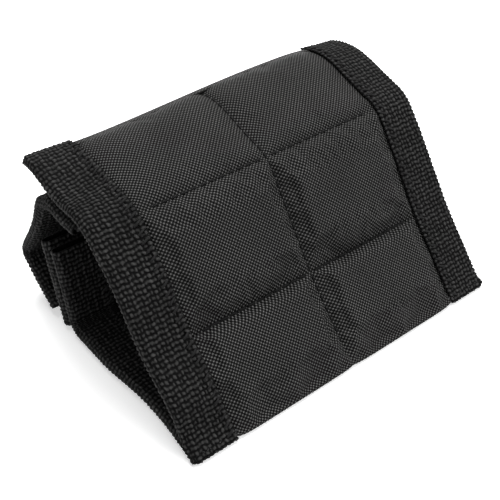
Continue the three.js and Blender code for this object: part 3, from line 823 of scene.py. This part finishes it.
def cover(name, breaks, place, nodes):
    """Outer cloth of the pad, sewn along the grid and blown up between the stitches."""
    distance, x = np.meshgrid(stops(breaks, COVER_STEP), stops(PAD_BREAKS, COVER_STEP), indexing="ij")
    sewn = np.isin(distance, breaks) | (np.abs(x) < ON_SEAM) | (np.abs(x) > TAPE_EDGE - ON_SEAM)
    sewn_depth = COVER_SEWN - COVER_FOLD_RISE * np.exp(-(((distance - AT_FOLD) / FOLD_RISE_REACH) ** 2))
    front = (distance > AT_FOLD) & (distance < AT_CREST)
    fullness = np.where(front, tent(x, distance), quilt(x, distance, POCKET_POWER))
    filled = np.where(front, COVER_ON_MAGNET, COVER_FILLED)
    depth = pocket_depth(x, COVER_UNDER_TAPE, sewn_depth, filled, fullness)
    taut = np.where(front, 0.0, OTHER_TAUT)
    held = sewn | (front & (fullness > ON_FLAT))
    start = on_line(pad, x, distance, depth)
    shaped = inflate(start.reshape(-1, 3), grid_faces(*x.shape), held.ravel(), taut.ravel())
    shaped = shaped.reshape(start.shape)
    outer = finer(shaped)
    outer[..., 2] = np.maximum(outer[..., 2], FLOOR_CLEARANCE)
    inwards = np.cross(np.gradient(outer, axis=0), np.gradient(outer, axis=1))
    inwards /= np.maximum(np.linalg.norm(inwards, axis=2, keepdims=True), 1e-9)
    inner = outer + COVER_THICKNESS * inwards
    place_on_cloth = finer(np.stack([x, distance], axis=-1))
    for face, least in ((outer, COVER_CLEARANCE), (inner, PINCH_CLEARANCE)):
        clear = pad.own_side(face[..., 1], face[..., 2], place_on_cloth[..., 1], least)
        face[..., 1], face[..., 2] = clear
    points, faces = two_sided(outer, inner)
    uv = np.tile(place_on_cloth.reshape(-1, 2), (2, 1))
    piece = dress(make_piece(name, points, faces, uv), COVER, "cover_cloth", *nodes)
    follow(piece, place)


lower_breaks = [0, AT_BOTTOM_STITCH, AT_FOLD, AT_LOWER_STITCH]
upper_breaks = [AT_LOWER_STITCH, AT_CREST, AT_PAD_END]
cover("cover_lower", lower_breaks, "fold", ["bottom_cover", "front_cover"])
cover("cover_upper", upper_breaks, "crest", ["front_cover", "top_cover"])
HEM_OVER = COVER_UNDER_TAPE - 0.5
hem_corners = [
    (pad.length - HEM_LAP, HEM_OVER),
    (pad.length, HEM_OVER),
    (pad.length, HEM_OUTSIDE),
    (pad.length - HEM_REACH, HEM_OUTSIDE),
]
hem = cross_strip("free_end_hem", pad, hem_corners, [HEM_RADIUS, HEM_RADIUS], STRIP_EDGE, CLOTH_THICKNESS)
follow(dress(hem, COVER, "cover_cloth", "top_end_hem"), "top")


def felt_depth(x, distance):
    return pocket_depth(x, FELT_SEWN, FELT_SEWN, FELT_FILLED, quilt(x, distance, POCKET_POWER))


def lining_depth(x, distance):
    return pocket_depth(x, LINING_UNDER_TAPE, LINING_SEWN, LINING_FILLED, quilt(x, distance, POCKET_POWER))


FELT_OFF_TAPE, FELT_OFF_FOLD, FELT_OFF_CREST, FELT_OFF_END = 3, 9, 0.3, 0.5
felt_columns = stops([-TAPE_EDGE + FELT_OFF_TAPE, 0, TAPE_EDGE - FELT_OFF_TAPE], FELT_STEPS[0])
for part, breaks in (
    ("base", [FELT_OFF_END, AT_FOLD - FELT_OFF_FOLD]),
    ("front", [AT_FOLD + FELT_OFF_FOLD, AT_LOWER_STITCH, AT_CREST - FELT_OFF_CREST]),
    ("top", [AT_CREST + FELT_OFF_CREST, AT_PAD_END - FELT_OFF_END]),
):
    start, end = breaks[0], breaks[-1]
    node = "bottom_felt" if part == "base" else f"{part}_felt"
    piece = layer(node + "_pad", pad, felt_columns, stops(breaks, FELT_STEPS[1]), felt_depth, FELT_THICKNESS)
    follow(dress(piece, FELT, "felt", node), part)

for part, breaks, place, nodes in (
    ("lower", lower_breaks, "fold", ["bottom_lining", "front_lining"]),
    ("upper", upper_breaks, "crest", ["front_lining", "top_lining"]),
):
    columns = stops(PAD_BREAKS, LINING_STEPS[0])
    rows = stops(breaks, LINING_STEPS[1])
    piece = layer(f"lining_{part}", pad, columns, rows, lining_depth, CLOTH_THICKNESS)
    follow(dress(piece, LINING, "lining_cloth", *nodes), place)


def taped_edges(name, line, start, end, place, nodes):
    for side, sign in SIDES.items():
        piece = edge_tape(f"{name}_{side}", line, sign, start, end)
        follow(dress(piece, TAPE, "edge_tape", *[f"{node}_binding_{side}" for node in nodes]), place)


taped_edges("binding_lower", pad, 0, AT_LOWER_STITCH, "fold", ["bottom", "front"])
taped_edges("binding_upper", pad, AT_LOWER_STITCH, pad.length, "crest", ["front", "top"])


# The strap and the upright pieces


def web_depth(x, distance):
    return WEB_DEPTH + WEB_WAVE * np.sin(distance / WAVE_LENGTH + WAVE_SLANT * x) * np.cos(x / WAVE_WIDTH)


web_columns = stops([-LAYER_EDGE, -TAPE_EDGE, TAPE_EDGE, LAYER_EDGE], WEB_STEPS[0])


def strap_length(name, line, start, end, place, nodes):
    web_end = min(end, line.length - WEB_OFF_END)
    rows = stops([start, web_end], WEB_STEPS[1])
    piece = layer(f"{name}_cloth", line, web_columns, rows, web_depth, WEB_THICKNESS)
    follow(dress(piece, WEB, "strap_web", *[f"{node}_web" for node in nodes]), place)
    taped_edges(f"{name}_tape", line, start, end, place, nodes)


strap_length("tail", tail, 0, tail.length, "base", ["tail"])
strap_length("loop_panel", loop_panel, 0, loop_panel.length, "base", ["loop_panel"])
strap_length("strap_upper", strap, 0, AT_STRAP_SPLIT, "swing", ["strap_root", "strap"])
end_corners = [
    (strap.length - FLAP_TAPE_REACH, 0),
    (strap.length, 0),
    (strap.length, WEB_DEPTH + WEB_THICKNESS),
]
end_tape = cross_strip(
    "flap_end_binding", strap, end_corners, [FLAP_TAPE_RADIUS], STRIP_EDGE, TAPE_THICKNESS, ribbed=True
)
follow(dress(end_tape, TAPE, "edge_tape", "flap_end_tape"), "flap")
strap_length("strap_lower", strap, AT_STRAP_SPLIT, strap.length, "peel", ["strap", "flap"])


# Hook strip and loop pile: a woven base with many small strands
HOOK_PITCH, HOOK_MARGIN, HOOK_RADIUS = 1.55, 0.8, 0.13
HOOK_OUTLINE = np.array([(0, -0.15), (0, 0.4), (0.04, 0.75), (0.2, 0.95), (0.45, 0.93), (0.6, 0.7)])
HOOK_OUTLINE *= [1, HOOK_HEIGHT]
LOOP_PITCH, LOOP_MARGIN, LOOP_RADIUS = 1.25, 0.9, 0.11
LOOP_HALF, LOOP_SCATTER = 0.55, 0.15
LOOP_LEAST, LOOP_ROOT = 0.75, 0.15


def strip_base(name, line, start, end, depth, thickness, material, slot, body):
    columns = stops([-STRIP_EDGE, STRIP_EDGE], STRIP_STEPS[0])
    rows = stops([start, end], STRIP_STEPS[1])
    piece = layer(name, line, columns, rows, lambda x, d: depth + 0 * x, thickness)
    follow(dress(piece, material, slot), body)
    return piece


def spots(start, end, pitch, margin):
    """Places in even rows, an x and a distance each."""
    columns = stops([-STRIP_EDGE + margin, STRIP_EDGE - margin], pitch)
    x, distance = np.meshgrid(columns, stops([start + margin, end - margin], pitch))
    return np.stack([x.ravel(), distance.ravel()], axis=1)


hook_start, hook_end = strap.length - FLAP_LENGTH + HOOK_START, strap.length - HOOK_OFF_END
strip_base("hook_base", strap, hook_start, hook_end, HOOK_DEPTH, HOOK_BASE, HOOK, "hook_tape", "flap")
hook_places = spots(hook_start, hook_end, HOOK_PITCH, HOOK_MARGIN)
facing = np.where(np.arange(len(hook_places)) % 2, 1, -1)
hook_paths = np.zeros((len(hook_places), len(HOOK_OUTLINE), 3))
hook_paths[..., :2] = hook_places[:, None]
hook_paths[..., 1] += facing[:, None] * HOOK_OUTLINE[:, 0]
hook_paths[..., 2] = HOOK_DEPTH + HOOK_BASE + HOOK_OUTLINE[:, 1]
hooks = threads("hooks", strap, hook_paths, [HOOK_RADIUS] * len(HOOK_OUTLINE), sides=5)
follow(dress(hooks, HOOK, "hook_tape", "hook_strip"), "flap")

pile_foot = PILE_DEPTH - PILE_BASE
strip_base("pile_base", loop_panel, 0, loop_panel.length, pile_foot, PILE_BASE, PILE, "loop_pile", "base")
loop_places = spots(0, loop_panel.length, LOOP_PITCH, LOOP_MARGIN)
loop_places = loop_places + random.normal(0, LOOP_SCATTER, loop_places.shape)
loop_turn = random.uniform(0, math.pi, len(loop_places))
loop_way = np.stack([np.cos(loop_turn), np.sin(loop_turn)], axis=1)
around = np.linspace(-LOOP_ROOT, math.pi + LOOP_ROOT, 8)
loop_height = PILE_HEIGHT * random.uniform(LOOP_LEAST, 1.0, len(loop_places))
loop_paths = np.zeros((len(loop_places), len(around), 3))
loop_paths[..., :2] = loop_places[:, None] + LOOP_HALF * np.cos(around)[None, :, None] * loop_way[:, None]
loop_paths[..., 2] = pile_foot - loop_height[:, None] * np.sin(around)
loops = threads("pile_loops", loop_panel, loop_paths, [LOOP_RADIUS] * len(around), sides=4)
follow(dress(loops, PILE, "loop_pile", "loop_pile"), "base")


# Sewing
TAPE_SEAM = TAPE_EDGE + 1.2
SEW_OFF_END = 1
CROSS_OFF_MIDDLE, CROSS_OFF_TAPE = 1.2, 0.5


def sew(name, line, start, end, outer_depth, inner_depth, place, pitch=STITCH_PITCH, slant=0.0):
    """A row of stitches that shows on both faces."""
    for face, depth, outwards in (("outer", outer_depth, -1), ("inner", inner_depth, 1)):
        piece = stitch_row(f"{name}_{face}", line, start, end, depth, outwards, pitch, slant)
        follow(dress(piece, TAPE_THREAD if slant else THREAD), place)


LINING_FACE = LINING_SEWN + CLOTH_THICKNESS
THREAD_DEPTH = COVER_SEWN + THREAD_SUNK
for part, start, end, place in (
    ("lower", SEW_OFF_END, AT_LOWER_STITCH, "fold"),
    ("upper", AT_LOWER_STITCH, AT_PAD_END - SEW_OFF_END, "crest"),
):
    sew(f"centre_stitch_{part}", pad, (0, start), (0, end), THREAD_DEPTH, LINING_FACE, place)
for part, distance, place in (
    ("bottom", AT_BOTTOM_STITCH, "fold"),
    ("lower", AT_LOWER_STITCH, "front"),
    ("crest", AT_CREST, "crest"),
):
    for side, sign in SIDES.items():
        ends = (sign * CROSS_OFF_MIDDLE, distance), (sign * (TAPE_EDGE - CROSS_OFF_TAPE), distance)
        sew(f"cross_stitch_{part}_{side}", pad, *ends, THREAD_DEPTH, LINING_FACE, place)
for name, line, start, end, place in (
    ("binding_lower", pad, SEW_OFF_END, AT_LOWER_STITCH, "fold"),
    ("binding_upper", pad, AT_LOWER_STITCH, pad.length - SEW_OFF_END, "crest"),
    ("tail", tail, SEW_OFF_END, tail.length - SEW_OFF_END, "base"),
    ("loop_panel", loop_panel, SEW_OFF_END, loop_panel.length - SEW_OFF_END, "base"),
    ("strap_upper", strap, SEW_OFF_END, AT_STRAP_SPLIT, "swing"),
    ("strap_lower", strap, AT_STRAP_SPLIT, strap.length - SEW_OFF_END, "peel"),
):
    for side, sign in SIDES.items():
        ends = (sign * TAPE_SEAM, start), (sign * TAPE_SEAM, end)
        faces = SEAM_DEPTH, BOUND_THICKNESS - SEAM_DEPTH
        sew(f"{name}_seam_{side}", line, *ends, *faces, place, SEAM_PITCH, sign * SEAM_SLANT)


# Magnets keep their solids
for name, node in frame["nodes"].items():
    if name.startswith("magnet"):
        node.data.materials.clear()
        node.data.materials.append(NICKEL)


# Camera, floor and light
CAMERA_TURN, CAMERA_HEIGHT = math.radians(38.7), math.radians(38.94)
CAMERA_PLACE = Vector((-105.29, FOLD_LINE[0] - 92.91, 146.12)) * MM
FOCAL_PIXELS, IMAGE_PIXELS, SENSOR_MM = 880.5, 500, 36.0

right = Vector((math.cos(CAMERA_TURN), -math.sin(CAMERA_TURN), 0))
level_ahead = Vector((math.sin(CAMERA_TURN), math.cos(CAMERA_TURN), 0))
ahead = level_ahead * math.cos(CAMERA_HEIGHT) - Vector((0, 0, math.sin(CAMERA_HEIGHT)))
lens = bpy.data.cameras.new("camera")
lens.sensor_width = SENSOR_MM
lens.lens = FOCAL_PIXELS / IMAGE_PIXELS * SENSOR_MM
lens.clip_start = 0.01
camera = bpy.data.objects.new("camera", lens)
bpy.context.scene.collection.objects.link(camera)
camera_axes = Matrix((right, right.cross(ahead), -ahead)).transposed()
camera.matrix_world = Matrix.Translation(CAMERA_PLACE) @ camera_axes.to_4x4()
bpy.context.scene.camera = camera


def mix_by_sight(tree, unseen, seen, output):
    """One shader for light that falls on the object, another for what the camera sees or a face reflects."""
    choose = tree.nodes.new("ShaderNodeMixShader")
    path = tree.nodes.new("ShaderNodeLightPath")
    sight = path.outputs["Is Camera Ray"]
    for ray in ("Is Glossy Ray", "Is Transmission Ray"):
        either = tree.nodes.new("ShaderNodeMath")
        either.operation = "MAXIMUM"
        tree.links.new(sight, either.inputs[0])
        tree.links.new(path.outputs[ray], either.inputs[1])
        sight = either.outputs[0]
    tree.links.new(sight, choose.inputs[0])
    tree.links.new(unseen.outputs[0], choose.inputs[1])
    tree.links.new(seen.outputs[0], choose.inputs[2])
    tree.links.new(choose.outputs[0], tree.nodes[output].inputs["Surface"])


SKY_STRENGTH = 0.17
world = bpy.data.worlds.new("studio")
bpy.context.scene.world = world
world.use_nodes = True
sky = world.node_tree.nodes["Background"]
sky.inputs["Color"].default_value = (1, 1, 1, 1)
sky.inputs["Strength"].default_value = SKY_STRENGTH
white = world.node_tree.nodes.new("ShaderNodeBackground")
white.inputs["Color"].default_value = (1, 1, 1, 1)
mix_by_sight(world.node_tree, sky, white, "World Output")

FLOOR_HALF = 1.5
FLOOR_DROP = 0.0005
FLOOR_GLOW, FAR_GLOW = 0.42, 1.0
FLOOR_LIT, FLOOR_UNLIT = 0.15, 0.5
floor_mesh = bpy.data.meshes.new("floor")
floor_turns = ((-1, -1), (1, -1), (1, 1), (-1, 1))
floor_corners = [(x * FLOOR_HALF, y * FLOOR_HALF, -FLOOR_DROP) for x, y in floor_turns]
floor_mesh.from_pydata(floor_corners, [], [(0, 1, 2, 3)])
floor = bpy.data.objects.new("floor", floor_mesh)
bpy.context.scene.collection.objects.link(floor)
paper = Finish("paper", 0.9, specular=0.1)
paper.shader.inputs["Base Color"].default_value = (0.9, 0.9, 0.9, 1)
off_middle = paper.node("ShaderNodeVectorMath")
off_middle.operation = "LENGTH"
paper.feed(off_middle.inputs[0], paper.node("ShaderNodeNewGeometry").outputs["Position"])
fade = paper.node("ShaderNodeMapRange")
for socket, value in zip(fade.inputs[1:5], (FLOOR_LIT, FLOOR_UNLIT, FLOOR_GLOW, FAR_GLOW)):
    socket.default_value = value
paper.feed(fade.inputs[0], off_middle.outputs["Value"])
glow = paper.node("ShaderNodeEmission")
paper.feed(glow.inputs["Strength"], fade.outputs[0])
bright = paper.node("ShaderNodeAddShader")
paper.feed(bright.inputs[0], paper.shader.outputs[0])
paper.feed(bright.inputs[1], glow.outputs[0])
mix_by_sight(paper.tree, paper.shader, bright, "Material Output")
floor.data.materials.append(paper.material)


def soft_light(name, place, target, size, power):
    data = bpy.data.lights.new(name, "AREA")
    data.size = size
    data.energy = power
    lamp = bpy.data.objects.new(name, data)
    lamp.location = place
    lamp.rotation_euler = (Vector(target) - Vector(place)).to_track_quat("-Z", "Y").to_euler()
    bpy.context.scene.collection.objects.link(lamp)


# Lamps: place, target and size in metres, power in watts
soft_light("overhead", (0.12, 0.16, 0.75), (0, 0, 0.02), 0.5, 8.0)
soft_light("front_fill", (0.5, -0.55, 0.55), (0, 0, 0.02), 0.4, 4.9)
soft_light("left_fill", (-0.6, -0.1, 0.2), (0, 0, 0.02), 0.5, 2.0)

bpy.context.scene.view_settings.view_transform = "Standard"
